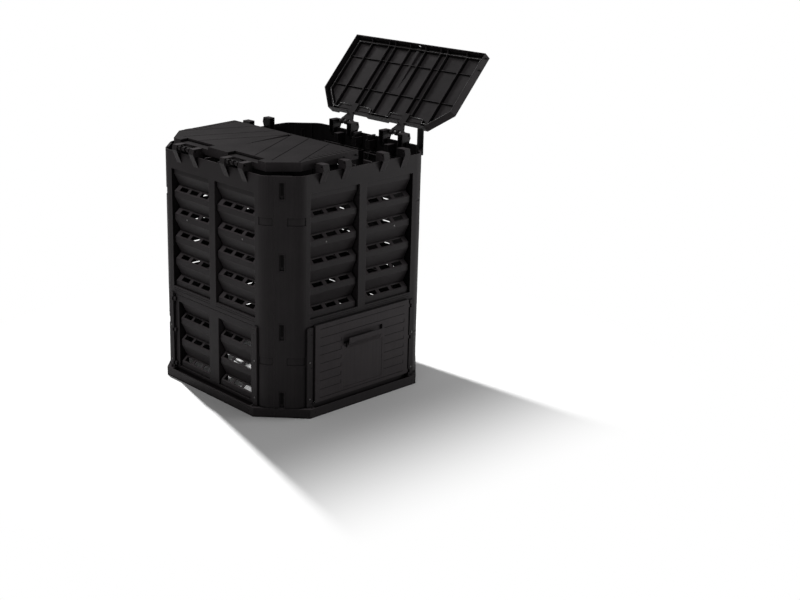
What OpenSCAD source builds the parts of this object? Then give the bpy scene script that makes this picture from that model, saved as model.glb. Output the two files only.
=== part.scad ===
// Compost bin: four moulded wall panels in a ring, louvred inserts and a sliding
// hatch between rails on the walls, and a lid in two flaps on hinge arms.
// Millimetres. The origin is on the ground in the middle of the ring, Z is up and
// the wall with the hatch faces -Y.

/* [Ring of walls] */
// Distance across the ring between two opposite flat walls
ring_w = 672; // [640:1:760]
// How far each flat wall is cut back at a corner by the slanted face
corner_cut = 84.5; // [76:0.5:92]
// Thickness of the moulded walls
wall_t = 4; // [3:0.5:5]
// Outside radius of the rounded bend between a flat wall and a slanted face
bend_r = 46; // [30:1:52]
// Height of the walls' top edge above the ground
wall_h = 776; // [762:1:840]
// How far a slanted face's seam lies past its middle
seam_past = 23.5; // [20:0.5:26]
// How far the inner leaf of a corner joint reaches past the middle
leaf_past = 30; // [22:0.5:34]
// Gap between the two leaves of a corner joint
leaf_gap = 0.5; // [0.3:0.1:1]
// Depth of the shallow belts pressed into the bends
belt_d = 2; // [1:0.25:2.5]
// Height of a belt
belt_h = 26; // [16:1:34]
// Middle of the lower belt above the ground
belt_low_z = 186; // [160:1:230]
// Middle of the upper belt above the ground
belt_high_z = 634; // [600:1:680]

/* [Base] */
// Width over the skirt at the ground
base_w = 719; // [706:1:740]
// How far the skirt's slanted face stands proud of the wall's
base_proud = 2.8; // [1:0.1:4]
// Height of the skirt
skirt_h = 30; // [22:1:34]
// Wall of the skirt
skirt_t = 4; // [3:0.5:5]
// Height of the floor of the trough behind the skirt
trough_z = 8; // [4:1:14]
// Half the length of the open trough
trough_half = 208; // [204:0.5:211]
// Thickness of the trough's floor and of the ledges at its ends
ledge_t = 3; // [2:0.5:4]
// Diameter of the hole for a ground peg in each ledge
peg_d = 7; // [5:0.5:9]

/* [Louvres] */
// Half the width of the bar between the two upper columns
mullion_half = 15.4; // [12:0.2:20]
// Outer end of the upper louvre openings from the wall's middle
louvre_half = 215.7; // [205:0.1:218]
// Lower edge of the upper louvre openings
louvre_z = 317; // [312:1:324]
// Number of louvres in an upper column
upper_count = 5; // [3:1:5]
// Distance from one louvre to the next
louvre_pitch = 76.5; // [70:0.5:80]
// Height of a louvre's upright front lip
lip_h = 18; // [12:0.5:22]
// How much a louvre's perforated shelf rises from its lip to its back
shelf_rise = 17; // [12:0.5:20]
// How far the lips stand behind the face of the frame
lip_set = 8; // [6:0.5:12]
// Depth from a louvre's lip to its back
louvre_depth = 21; // [16:0.5:26]
// Wall of the louvres
louvre_t = 3; // [2:0.25:4]
// Slit between a louvre's end and the upright beside it
end_gap = 4; // [3:0.5:6]
// Thickness of the plates that close the louvres' ends and edge the openings
end_t = 2.5; // [2:0.25:3]
// Number of air holes in each shelf
hole_count = 3; // [2:1:3]
// Width of an air hole
hole_w = 40; // [30:1:42]
// Distance from one air hole to the next in the upper columns
hole_pitch = 55; // [50:0.5:58]
// Distance from one air hole to the next in the inserts
insert_hole_pitch = 50.5; // [46:0.5:52]

/* [Rails and inserts] */
// Inner face of each rail from the wall's middle
rail_in = 212; // [208:0.5:213]
// Width of a rail
rail_w = 19; // [15:0.5:19]
// How far a rail stands proud of the wall
rail_proud = 8; // [7:0.5:10]
// Height of the rails' top end
rail_top = 293; // [288:0.5:298]
// How far the lower panel is set back behind the wall's face
inset_d = 4.7; // [4:0.1:6]
// Half the width of the lower opening
low_half = 196; // [195:0.5:198]
// Lower edge of the lower opening
low_z = 33; // [31:0.5:34]
// Upper edge of the lower opening
low_top = 284; // [280:0.5:286]
// Half the width of the bar in the middle of an insert
insert_mullion_half = 24.6; // [16:0.2:26]
// Outer end of an insert's louvre openings
insert_louvre_half = 192; // [186:0.5:192]
// Half the width over an insert's frame
insert_half = 210; // [207:0.5:211]
// Thickness of an insert's frame
insert_t = 3.2; // [2.6:0.1:3.6]
// Number of louvres in an insert's column
insert_count = 3; // [2:1:3]
// Height of a clip lug on an insert
lug_h = 12; // [8:1:18]
// Clearance round pieces that slide or are slid into place
slide_gap = 0.5; // [0.3:0.1:0.8]

/* [Hatch] */
// Half the width of the hatch's raised face
hatch_half = 202; // [198:0.5:204]
// Height of the hatch's lower edge
hatch_z = 41; // [40:0.5:44]
// Height of the hatch's upper edge
hatch_top = 298; // [290:0.5:302]
// How far the hatch's face stands proud of the wall
hatch_proud = 11.5; // [10.5:0.5:14]
// Wall of the hatch
hatch_t = 3; // [2.5:0.25:3.5]
// How far the hatch's runners reach into the rails
runner_reach = 4.5; // [3:0.5:5]
// Distance from one groove of the hatch to the next
groove_pitch = 28.5; // [26:0.5:29]
// Height of a groove
groove_h = 1.8; // [1:0.2:3]
// Depth of a groove
groove_d = 1.2; // [0.6:0.1:1.6]
// Half the width of the plain middle panel
panel_half = 84; // [78:0.5:88]
// Half the width of the handle
handle_half = 72; // [60:0.5:74]
// Height of the floor behind the handle above the ground
handle_z = 211; // [206:0.5:214]
// How far the handle's top edge stands above that floor
handle_h = 21; // [17:0.5:24]
// How far the handle slopes back to the hatch's face below that floor
handle_slope = 17; // [12:0.5:22]
// Height of the finger pocket behind the handle
pocket_h = 30; // [25:0.5:32]
// How far the handle stands in front of the hatch's face
handle_out = 14.8; // [12:0.2:20]
// Thickness of the handle
handle_t = 3.5; // [3:0.25:4]

/* [Hinges] */
// Distance of a hinge axis outside the wall's face
axis_out = 10; // [9:0.25:11]
// Height of the hinge axes above the walls' top edge
axis_up = 20; // [19:0.25:22]
// Middle of a hinge station from the wall's middle
station_u = 125.25; // [118:0.25:130]
// Clear width between the two posts of a station
post_gap = 67; // [66:0.5:68]
// Width of a post
post_w = 23.5; // [21:0.5:24]
// Height of the posts above the walls' top edge
post_up = 28; // [27:0.5:30]
// How far the posts stand in front of the wall
post_out = 20; // [19:0.5:22]
// How far the posts reach behind the wall's face
post_in = 18; // [12:0.5:20]
// How far the posts' taper runs down the wall from its top edge
post_taper = 34; // [24:1:44]
// Wall of the hollow posts
post_t = 3; // [2.5:0.25:3]
// Skin in front of the notch in each side of a post's taper
notch_skin = 1.6; // [1.2:0.1:2]
// Diameter of a hinge pin
pin_d = 7; // [6:0.25:7.5]
// Clearance on the radius between a pin and its holes
pin_fit = 0.08; // [0.03:0.01:0.1]
// Outside diameter of a hinge knuckle
knuckle_d = 15; // [13:0.5:15.5]
// Width of a knuckle
knuckle_w = 10; // [7:0.5:12]
// Distance from one knuckle to the next
knuckle_pitch = 23; // [20:0.5:23]
// Width of the arm's tongue under the lid
tongue_w = 28; // [22:0.5:29]
// Wall of the arm
arm_t = 3; // [2.5:0.25:4]

/* [Lid] */
// Half the length of a flap along its hinge
lid_half = 311; // [296:0.5:312]
// Distance from the hinge axis to a flap's outer edge
lid_start = 36.8; // [34:0.2:40]
// How far a flap's corners are cut back
lid_cut = 74.8; // [68:0.2:84]
// Height of a flap's top above the hinge axis
lid_rise = 13.7; // [12.5:0.1:16]
// Height of a flap's skirt
lid_skirt = 28.4; // [26:0.2:30]
// Distance from one short mark along a flap's end to the next
mark_pitch = 19; // [17:0.5:26]
// Length of those marks
mark_len = 27; // [18:1:32]
// Wall of a flap
lid_t = 3; // [2.5:0.25:3.5]
// Distance from a flap's edge to the rim under it
rim_inset = 16; // [12:0.5:22]
// Depth of the ledges inside the walls below the walls' top edge
rest_drop = 12; // [8:0.5:16]
// Distance of the lid's rests from the wall's middle
rest_u = 34; // [24:0.5:44]
// Slope of a closed flap up to the middle, in degrees
lid_tilt = 1.46; // [0.8:0.02:1.8]
// Gap between the two closed flaps
mid_gap = 1.5; // [1:0.1:4]
// How far the right flap stands open in degrees
open_angle = 130; // [100:1:132]
// Depth of the steps in a flap's top over the hinge arms
step_d = 9; // [8:0.2:9.5]
// How far a step runs in from the outer edge
step_run = 29; // [24:0.5:34]
// Half the length of a step along the hinge
step_half = 74; // [68:0.5:74]
// Height of the ribs under a flap
lid_rib_h = 11; // [6:0.5:13]
// Thickness of the ribs under a flap
lid_rib_t = 2.5; // [2:0.25:3]
// Angle of the grooves in a flap's top to the line through its hinges, in degrees
vein_angle = 28; // [20:1:36]
// Width of the grooves in a flap's top
vein_w = 3.4; // [1.6:0.2:4]
// Depth of the grooves in a flap's top
vein_d = 1.2; // [0.6:0.1:1.6]

/* [Joint clips] */
// Height of the slot for a clip in a wall's outer leaf
slot_h = 52; // [46:1:56]
// Width of that slot
slot_w = 15; // [12:0.5:16]
// Middle of the lowest slot above the ground
slot_z = 58; // [56:1:70]
// Distance from one slot to the next
slot_pitch = 224; // [216:1:228]
// Height of a clip's stem
clip_h = 30; // [24:1:32]
// Width of a clip
clip_w = 11; // [8:0.5:12]
// Clearance round a clip
clip_play = 0.4; // [0.2:0.05:0.6]

/* [Corner upright] */
// Height of the upright's top above the walls' top edge
upright_up = 68; // [40:1:68]
// How far the upright's fork reaches down over the wall
upright_down = 17; // [14:1:18]
// Size of the upright across the wall
upright_w = 21; // [18:0.5:22]
// Size of the upright along the wall
upright_l = 18; // [12:0.5:18]

/* [Hidden] */

$fn = 64;
// Overrun of every cut
eps = 0.5;
// How far the bends' surfaces lie behind those of the plates that they join
bend_step = 0.05;
// How far a plate laps into a bend
bend_lap = 1;

half = ring_w / 2;
flat_half = half - corner_cut;
bend_run = bend_r * tan(22.5);
arc_u = flat_half - bend_run;
body_far = (2 * half - corner_cut) / sqrt(2);
base_half = base_w / 2;
base_far = body_far + base_proud;
mid_run = corner_cut / sqrt(2) - bend_run;
leaf_in = wall_t + leaf_gap;
leaf_h = wall_h - bend_step;

// A corner of a ring with the given half width and slanted face distance
function ring_corner(h, far) = [far * sqrt(2) - h, -h];
// A point on the slanted face at the right, past its middle by s
function slant_point(far, s) = [far + s, s - far] / sqrt(2);

louvre_zs = [for (k = [0 : upper_count - 1]) louvre_z + lip_h + k * louvre_pitch];
louvre_top = louvre_z + lip_h + upper_count * louvre_pitch;
plate_drop = louvre_pitch - lip_h - shelf_rise;
back_d = lip_set + louvre_depth;
bar_t = end_t * 2.4;
insert_z = low_z + end_t + slide_gap + 1.5 * end_gap / 4;
insert_top = insert_z + insert_count * louvre_pitch;
insert_face = inset_d - insert_t;
insert_lip_set = lip_set - insert_face / 2;
insert_low_z = low_z - 1.25 * insert_t;
insert_high_z = low_top + 1.5 * insert_t;
lug_shares = [0.06, 0.52, 0.94];
lug_zs = [for (share = lug_shares) insert_low_z + share * (insert_high_z - insert_low_z)];
inset_top = rail_top - 0.5 * wall_t;
slot_in_rail = 1.3 * runner_reach;
runner_t = hatch_t;
runner_back = 3 * slide_gap;
rail_slot_z = hatch_z - slide_gap;
full_grooves_shares = [0, 7, 8];
short_grooves_shares = [1, 2, 3, 4, 5, 6];
groove_z = hatch_z + 0.45 * groove_pitch;
groove_end = hatch_half - 20 * groove_d * 0.8;
short_in = panel_half + 8 * groove_d;
tick_h = 0.4 * groove_pitch;

axis_x = half + axis_out;
axis_z = wall_h + axis_up;
post_mid = (post_gap + post_w) / 2;
stations = [-station_u, station_u];
pin_grip = post_t + pin_d / 3;
lid_end = axis_x - mid_gap / 2;
lid_low = lid_rise - lid_skirt;
step_x = lid_start + step_run;
step_floor = lid_rise - step_d;
rest_z = axis_z + lid_low - slide_gap;
rest_ledge_z = wall_h - rest_drop;
slots = [for (k = [0 : 3]) slot_z + k * slot_pitch];
leaf_slot_w = clip_w + 2 * clip_play;
leaf_slot_h = clip_h + 2 * clip_play;
plastic = [0.13, 0.125, 0.13];

// Cuts the corner at the origin of a plate that runs off to -x and -z, for a rounded
// edge of radius r, over a depth of d along y
module corner_cutter(r, d) {
    translate([-r, 0, -r]) rotate([-90, 0, 0]) mirror([0, 1, 0]) difference() {
        cube([r + eps, r + eps, d]);
        translate([0, 0, -eps]) cylinder(r = r, h = d + 2 * eps);
    }
}

// Walls

// Flat plate of a wall with the openings of the upper louvres and the lower panel
module wall_plate() {
    difference() {
        translate([-arc_u - bend_lap, -half, 0]) cube([2 * (arc_u + bend_lap), wall_t, wall_h]);
        for (s = [-1, 1])
            translate([s > 0 ? mullion_half : -louvre_half, -half - eps, louvre_z])
                cube([louvre_half - mullion_half, wall_t + 2 * eps, louvre_top - louvre_z]);
        translate([-rail_in, -half - eps, -eps])
            cube([2 * rail_in, wall_t + 2 * eps, inset_top + eps]);
        sill_lines();
    }
}

// Fine lines pressed into the rail under the upper louvres
module sill_lines() {
    for (s = [-1, 1], k = [1, 2])
        translate([s > 0 ? mullion_half : -louvre_half, -half - eps, louvre_z - k * 2.2 * louvre_t])
            cube([louvre_half - mullion_half, eps + 0.3 * wall_t, 0.5 * louvre_t]);
}

// Lower panel, set back between the rails, with the opening in it
module lower_panel() {
    difference() {
        translate([-rail_in - wall_t, -half + inset_d, 0])
            cube([2 * (rail_in + wall_t), wall_t, inset_top + wall_t]);
        translate([-low_half, -half + inset_d - eps, low_z])
            cube([2 * low_half, wall_t + 2 * eps, low_top - low_z]);
    }
    for (s = [-1, 1])
        translate([s > 0 ? rail_in : -rail_in - wall_t, -half, 0])
            cube([wall_t, inset_d + wall_t, inset_top + wall_t]);
    translate([-rail_in, -half, inset_top])
        cube([2 * rail_in, inset_d + wall_t, wall_t]);
}

// Rails that hold an insert or guide the hatch
module rails() {
    for (s = [0, 1]) mirror([s, 0, 0]) difference() {
        translate([rail_in, -half - rail_proud, trough_z])
            cube([rail_w, rail_proud + wall_t / 2, rail_top - trough_z]);
        translate([rail_in - eps, -half - runner_back - runner_t - slide_gap, rail_slot_z])
            cube([slot_in_rail + eps, runner_t + 2 * slide_gap, rail_top]);
        translate([rail_in + rail_w, -half - rail_proud - eps, rail_top])
            corner_cutter(rail_w / 3, rail_proud + eps);
        for (z = lug_zs)
            translate([rail_in - eps, -half - rail_proud - eps, z - lug_h / 2 - slide_gap])
                cube([slot_in_rail + 2 * eps, rail_proud, lug_h + 2 * slide_gap]);
    }
}

// One rounded bend with its belts, at the right end of a wall
module bend() {
    r = bend_r - bend_step;
    translate([arc_u, bend_r - half, 0]) rotate([0, 0, -90]) difference() {
        rotate_extrude(angle = 45) translate([r - wall_t, 0]) square([wall_t, wall_h]);
        for (z = [belt_low_z, belt_high_z])
            rotate([0, 0, -1]) rotate_extrude(angle = 47)
                translate([r - belt_d, z - belt_h / 2]) square([belt_d + eps, belt_h]);
    }
}

// Places children at the start of the slanted face at a wall's right end, where
// x runs along the face, -y points outward and y = 0 is the outer surface
module on_slant() {
    translate([arc_u, bend_r - half, 0]) rotate([0, 0, 45]) translate([0, -bend_r, 0]) children();
}

// Inner leaf of the corner joint, at a wall's right end
module inner_leaf() {
    run = mid_run - seam_past - leaf_gap;
    on_slant() difference() {
        union() {
            translate([-bend_lap, 0, 0]) cube([run + bend_lap, wall_t, leaf_h]);
            translate([run - 2 * wall_t, leaf_in - wall_t / 2, 0])
                cube([2 * wall_t, 1.5 * wall_t, leaf_h]);
            translate([run - wall_t, leaf_in, 0])
                cube([wall_t + mid_run + leaf_past - run, wall_t, leaf_h]);
        }
        for (z = slots)
            translate([mid_run - leaf_slot_w / 2, leaf_in - eps, z - leaf_slot_h / 2])
                cube([leaf_slot_w, wall_t + 2 * eps, leaf_slot_h]);
        belts_on_slant(run - wall_t);
    }
}

// Outer leaf of the corner joint, drawn at the right and mirrored to the left end
module outer_leaf() {
    run = mid_run + seam_past;
    border = wall_t / 3;
    on_slant() difference() {
        union() {
            translate([-bend_lap, 0, 0]) cube([run + bend_lap, wall_t, leaf_h]);
            for (z = slots)
                translate([mid_run - slot_w / 2 - 2 * border, -border / 2, z - slot_h / 2 - 2 * border])
                    cube([slot_w + 4 * border, wall_t, slot_h + 4 * border]);
        }
        for (z = slots) {
            translate([mid_run - slot_w / 2, -eps - border, z - slot_h / 2])
                cube([slot_w, wall_t + border + 2 * eps, slot_h]);
            translate([mid_run - slot_w / 2 - border, -border / 2 - eps, z - slot_h / 2 - border])
                cube([slot_w + 2 * border, border / 2 + eps, slot_h + 2 * border]);
        }
        belts_on_slant(mid_run - slot_w);
    }
}

// Stretch of the belts on the slanted face
module belts_on_slant(run) {
    for (z = [belt_low_z, belt_high_z])
        translate([-bend_lap - eps, -eps, z - belt_h / 2 + bend_step])
            cube([run + bend_lap + eps, belt_d + eps, belt_h - 2 * bend_step]);
}

// Front edge of a column of louvres as [depth, height] points from the top down
function louvre_edge(z, count, top_lip, lip) = concat(
    [[lip, z + count * louvre_pitch + (top_lip ? lip_h : 0)]],
    top_lip ? [[lip, z + count * louvre_pitch]] : [],
    [for (k = [count - 1 : -1 : 0], p = [0 : 2])
        p == 0 ? [lip + louvre_depth, z + k * louvre_pitch + lip_h + shelf_rise]
        : p == 1 ? [lip, z + k * louvre_pitch + lip_h]
        : [lip, z + k * louvre_pitch]]);

// A folded strip of that edge, t deep and len long
module louvre_strip(edge, t, len) {
    points = len(edge);
    rotate([90, 0, 90]) linear_extrude(len)
        polygon(concat(edge, [for (i = [points - 1 : -1 : 0]) edge[i] + [t, 0]]));
}

// One column of louvres between u0 and u1 in a frame whose face is at depth face
module louvre_column(u0, u1, z, count, top_lip, lip, face, pitch) {
    edge = louvre_edge(z, count, top_lip, lip);
    top = z + count * louvre_pitch + (top_lip ? lip_h : 0);
    inner_u0 = u0 + end_gap;
    inner_u1 = u1 - end_gap;
    back = lip + louvre_depth;
    mid_u = (u0 + u1) / 2;
    translate([0, -half, 0]) {
        difference() {
            translate([inner_u0, 0, 0]) louvre_strip(edge, louvre_t, inner_u1 - inner_u0);
            for (k = [0 : count - 1], i = [0 : hole_count - 1])
                translate([mid_u + (i - (hole_count - 1) / 2) * pitch - hole_w / 2,
                    lip + 0.2 * louvre_depth, z + k * louvre_pitch + lip_h - shelf_rise / 4])
                    cube([hole_w, 0.62 * louvre_depth, 1.25 * shelf_rise]);
        }
        for (u = [inner_u0, inner_u1 - end_t])
            translate([u, 0, 0]) louvre_strip(edge, 3 * louvre_t, end_t);
        for (u = [u0 - end_t, u1])
            translate([u, face, z - end_t]) cube([end_t, back + bar_t - face, top - z + 2 * end_t]);
        for (u = [u0 - end_t / 2, inner_u1 - end_t])
            translate([u, back, z - end_t])
                cube([end_gap + 1.5 * end_t, bar_t, top - z + 2 * end_t]);
        for (h = [z - end_t, top])
            translate([u0 - end_t / 2, face, h])
                cube([u1 - u0 + end_t, lip + louvre_t - face, end_t]);
        for (h = [z - end_t, top])
            translate([u0 - end_t / 2, back, h]) cube([u1 - u0 + end_t, bar_t, end_t]);
    }
}

// Both upper columns of a wall
module upper_louvres() {
    louvre_column(mullion_half, louvre_half, louvre_z, upper_count, true, lip_set, wall_t / 2, hole_pitch);
    louvre_column(-louvre_half, -mullion_half, louvre_z, upper_count, true, lip_set, wall_t / 2, hole_pitch);
}

// Skirt at the ground, from one seam to the next, with the trough and its ledges
module base() {
    inner_h = base_half - skirt_t;
    inner_far = base_far - skirt_t;
    right = ring_corner(base_half, base_far);
    right_in = ring_corner(inner_h, inner_far);
    cut_r = slant_point(base_far, -seam_past - leaf_gap);
    cut_r_in = slant_point(inner_far, -seam_past - leaf_gap);
    cut_l = slant_point(base_far, seam_past);
    cut_l_in = slant_point(inner_far, seam_past);
    flip = [-1, 1];
    difference() {
        linear_extrude(skirt_h) polygon([
            [for (i = [0, 1]) cut_l[i] * flip[i]], [for (i = [0, 1]) right[i] * flip[i]], right,
            cut_r, cut_r_in, right_in,
            [for (i = [0, 1]) right_in[i] * flip[i]], [for (i = [0, 1]) cut_l_in[i] * flip[i]]]);
        for (s = [-1, 1])
            translate([s * rail_in - groove_h / 2, -base_half - eps, skirt_h / 3])
                cube([groove_h, skirt_t + 2 * eps, skirt_h / 3]);
    }
    translate([-trough_half, -base_half + skirt_t / 2, trough_z - ledge_t])
        cube([2 * trough_half, base_half - half + inset_d, ledge_t]);
    for (s = [0, 1]) mirror([s, 0, 0]) ledge();
}

// Ledge at the right end of the trough, with a hole for a ground peg
module ledge() {
    edge = ring_corner(base_half - skirt_t / 2, base_far - skirt_t / 2);
    bend_end = [arc_u + bend_r * sin(45), bend_r * (1 - cos(45)) - half];
    difference() {
        translate([0, 0, skirt_h - ledge_t]) linear_extrude(ledge_t) polygon([
            [trough_half, edge[1]], edge,
            bend_end + [0, -base_proud], bend_end + [-wall_t, wall_t] / 3, [arc_u, wall_t / 2 - half],
            [trough_half, wall_t / 2 - half]]);
        translate([peg_u(), peg_y(), 0]) cylinder(d = peg_d, h = 2 * skirt_h);
    }
    translate([trough_half, -base_half + skirt_t / 2, trough_z - ledge_t])
        cube([ledge_t, base_half - half, skirt_h - trough_z + ledge_t]);
}
function peg_u() = trough_half + ledge_t + peg_d;
function peg_y() = -(half + rail_proud + base_half - skirt_t) / 2;

// Side view of a post as [depth, height] points, above the walls' top edge
post_points = [
    [0, -post_taper], [-post_out, post_up / 2 - ledge_t], [-0.8 * post_out, post_up],
    [post_in, post_up], [post_in, -post_taper / 3], [wall_t / 2, -post_taper]];

// Outline of the notch in each side of a post's taper
notch_run = norm([post_out, post_taper + post_up / 2 - ledge_t]);
notch_drop = notch_skin * notch_run / post_out;
notch_top = 0.8 * post_t;
notch_points = [
    [0, notch_drop - post_taper],
    [-(notch_top + post_taper) * post_out / (post_taper + post_up / 2 - ledge_t)
        + notch_drop * post_out / (post_taper + post_up / 2 - ledge_t), notch_top],
    [0, notch_top]];

// One hollow hinge post with its middle at u
module post(u) {
    web = post_t;
    translate([u, -half, wall_h]) difference() {
        translate([-post_w / 2, 0, 0]) rotate([90, 0, 90]) linear_extrude(post_w) polygon(post_points);
        translate([-post_w / 2 + post_t, wall_t + post_t, -post_taper])
            cube([post_w - 2 * post_t, post_in, post_taper + post_up - post_t]);
        translate([-post_w / 2 + post_t, -axis_out - pin_d / 2 - 2 * pin_fit, post_t])
            cube([post_w - 2 * post_t, post_in + post_out, post_up - 2 * post_t]);
        translate([0, -axis_out, axis_up]) rotate([0, 90, 0])
            cylinder(d = pin_d + 2 * pin_fit, h = post_w * 2, center = true);
        for (x = [-post_w / 2 - eps, web / 2])
            translate([x, 0, 0]) rotate([90, 0, 90])
                linear_extrude((post_w - web) / 2 + eps) polygon(notch_points);
    }
}

// Ledges and stubs inside the wall, under the lid's edge
module lid_rests() {
    reach = half - (axis_x - lid_start) + 2 * lid_t + wall_t;
    for (u = [-station_u, -rest_u, rest_u, station_u]) {
        translate([u - tongue_w / 3, wall_t / 2 - half, louvre_top + lip_h])
            cube([tongue_w * 2 / 3, reach - wall_t / 2, rest_ledge_z - louvre_top - lip_h]);
    }
    for (u = [-rest_u, rest_u])
        translate([u - lid_t, wall_t / 2 - half, rest_ledge_z - eps])
            cube([2 * lid_t, reach - wall_t / 2, rest_z - rest_ledge_z + eps]);
}

// One whole wall panel, drawn as the wall that faces -Y
module wall() {
    wall_plate();
    lower_panel();
    rails();
    upper_louvres();
    bend();
    mirror([1, 0, 0]) bend();
    inner_leaf();
    mirror([1, 0, 0]) outer_leaf();
    base();
    for (u = stations, s = [-1, 1]) post(u + s * post_mid);
    lid_rests();
}
module wall_front() { color(plastic) wall(); }
module wall_left() { color(plastic) rotate([0, 0, -90]) wall(); }
module wall_back() { color(plastic) rotate([0, 0, 180]) wall(); }
module wall_right() { color(plastic) rotate([0, 0, 90]) wall(); }

// Inserts

// Louvred insert, drawn in the wall that faces -Y
module louvre_insert() {
    difference() {
        translate([-insert_half, insert_face - half, insert_low_z])
            cube([2 * insert_half, insert_t, insert_high_z - insert_low_z]);
        for (s = [-1, 1])
            translate([s > 0 ? insert_mullion_half : -insert_louvre_half, insert_face - half - eps, insert_z])
                cube([insert_louvre_half - insert_mullion_half, insert_t + 2 * eps, insert_top - insert_z]);
        for (s = [0, 1]) mirror([s, 0, 0])
            translate([insert_half, insert_face - half - eps, insert_high_z])
                corner_cutter(2.5 * insert_t, insert_t + 2 * eps);
    }
    louvre_column(insert_mullion_half, insert_louvre_half, insert_z, insert_count, false,
        insert_lip_set, insert_face, insert_hole_pitch);
    louvre_column(-insert_louvre_half, -insert_mullion_half, insert_z, insert_count, false,
        insert_lip_set, insert_face, insert_hole_pitch);
    for (s = [0, 1], z = lug_zs) mirror([s, 0, 0]) insert_lug(z);
}

// A clip lug that reaches from an insert's edge into the rail
module insert_lug(z) {
    top = -runner_back - runner_t;
    translate([insert_half - 2 * insert_t, top - half, z - lug_h / 2])
        cube([2 * insert_t - slide_gap, insert_face - top + insert_t / 2, lug_h]);
    translate([insert_half - insert_t, top - half, z - lug_h / 2])
        cube([rail_in + runner_reach - insert_half + insert_t, runner_t, lug_h]);
}
module louvre_insert_left() { color(plastic) rotate([0, 0, -90]) louvre_insert(); }
module louvre_insert_back() { color(plastic) rotate([0, 0, 180]) louvre_insert(); }
module louvre_insert_right() { color(plastic) rotate([0, 0, 90]) louvre_insert(); }

// Hatch

// Raised tray of the hatch with its runners
module hatch_tray() {
    deep = hatch_proud - runner_back;
    translate([-hatch_half, -half - hatch_proud, hatch_z]) difference() {
        cube([2 * hatch_half, deep, hatch_top - hatch_z]);
        for (s = [0, 1], m = [0, 1])
            translate([hatch_half, -eps, (hatch_top - hatch_z) / 2])
                mirror([0, 0, m]) translate([-s * hatch_half, 0, (hatch_top - hatch_z) / 2])
                    mirror([s, 0, 0]) translate([s > 0 ? 0 : hatch_half, 0, 0])
                        corner_cutter(hatch_t, deep + 2 * eps);
        translate([hatch_t, hatch_t, hatch_t])
            cube([2 * (hatch_half - hatch_t), deep, hatch_top - hatch_z - 2 * hatch_t]);
    }
    for (s = [0, 1]) mirror([s, 0, 0])
        translate([hatch_half - hatch_t, -half - runner_back - runner_t, hatch_z])
            cube([rail_in + runner_reach - hatch_half + hatch_t, runner_t, hatch_top - hatch_z - 2 * hatch_t]);
    for (s = [-1, 1])
        translate([s * panel_half - hatch_t / 2, -half - hatch_proud + hatch_t / 2, hatch_z + hatch_t / 2])
            cube([hatch_t, deep - hatch_t, hatch_top - hatch_z - hatch_t]);
}

// Block behind the finger pocket
module pocket_block() {
    translate([-panel_half - hatch_t, -half - hatch_proud + hatch_t / 2, handle_z - handle_slope])
        cube([2 * (panel_half + hatch_t), hatch_proud - runner_back - hatch_t / 2,
            pocket_h + handle_slope + hatch_t]);
}

// Grooves, the plain panel and the finger pocket, all cut in the hatch's face
module hatch_cuts() {
    face = -half - hatch_proud;
    for (k = full_grooves_shares)
        translate([-groove_end, face - eps, groove_z + k * groove_pitch - groove_h / 2])
            cube([2 * groove_end, groove_d + eps, groove_h]);
    for (k = short_grooves_shares, s = [-1, 1]) {
        u = s > 0 ? short_in : -groove_end;
        translate([u, face - eps, groove_z + k * groove_pitch - groove_h / 2])
            cube([groove_end - short_in, groove_d + eps, groove_h]);
        translate([u + groove_end - short_in - groove_h, face - eps, groove_z + k * groove_pitch])
            cube([groove_h, groove_d + eps, tick_h]);
    }
    translate([-panel_half, face - eps, groove_z + groove_pitch / 3])
        cube([2 * panel_half, 0.5 * groove_d + eps, handle_z - handle_slope - groove_z - groove_pitch / 3]);
    translate([-panel_half, face - eps, handle_z])
        cube([2 * panel_half, hatch_proud - runner_back - hatch_t + eps, pocket_h]);
}

// Handle as a lip that slopes out of the hatch's face and then stands upright
module hatch_handle() {
    face = -half - hatch_proud;
    front = face - handle_out;
    translate([-handle_half, 0, 0]) rotate([90, 0, 90]) linear_extrude(2 * handle_half) polygon([
        [face + hatch_t / 2, handle_z - handle_slope], [front, handle_z + handle_slope / 4],
        [front, handle_z + handle_h], [front + handle_t, handle_z + handle_h],
        [front + handle_t, handle_z], [face + hatch_t / 2, handle_z]]);
}
module sliding_hatch() {
    color(plastic) {
        difference() {
            union() {
                hatch_tray();
                pocket_block();
            }
            hatch_cuts();
        }
        hatch_handle();
    }
}

// Lid flaps. A flap is drawn in a frame whose origin is on its hinge axis, with x
// running in over the bin, and then tilted and put in its place.

module at_left_hinge() {
    translate([-axis_x, 0, axis_z]) rotate([0, -lid_tilt, 0]) children();
}
module at_right_hinge() {
    translate([axis_x, 0, axis_z]) rotate([0, open_angle, 0]) mirror([1, 0, 0])
        rotate([0, -lid_tilt, 0]) children();
}

// Outline of a flap, moved in by d on every side
module flap_outline(d) {
    k = d * (sqrt(2) - 1);
    polygon([
        [lid_end - d, lid_half - d], [lid_start + lid_cut + k, lid_half - d],
        [lid_start + d, lid_half - lid_cut - k], [lid_start + d, lid_cut - lid_half + k],
        [lid_start + lid_cut + k, d - lid_half], [lid_end - d, d - lid_half]]);
}

// Upright band between two outlines, from z0 to z1
module flap_band(outer, inner, z0, z1) {
    translate([0, 0, z0]) difference() {
        linear_extrude(z1 - z0) flap_outline(outer);
        translate([0, 0, -eps]) linear_extrude(z1 - z0 + 2 * eps) flap_outline(inner);
    }
}

// The step over a hinge arm: the hollow in the top, or the block that holds it
module step_box(grow) {
    for (u = stations)
        translate([lid_start - (grow > 0 ? 0 : eps), u - step_half - grow, step_floor - grow])
            cube([step_run + grow + (grow > 0 ? 0 : eps), 2 * (step_half + grow),
                step_d + (grow > 0 ? 0 : eps) + (grow > 0 ? grow / 2 : 0)]);
}

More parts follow.
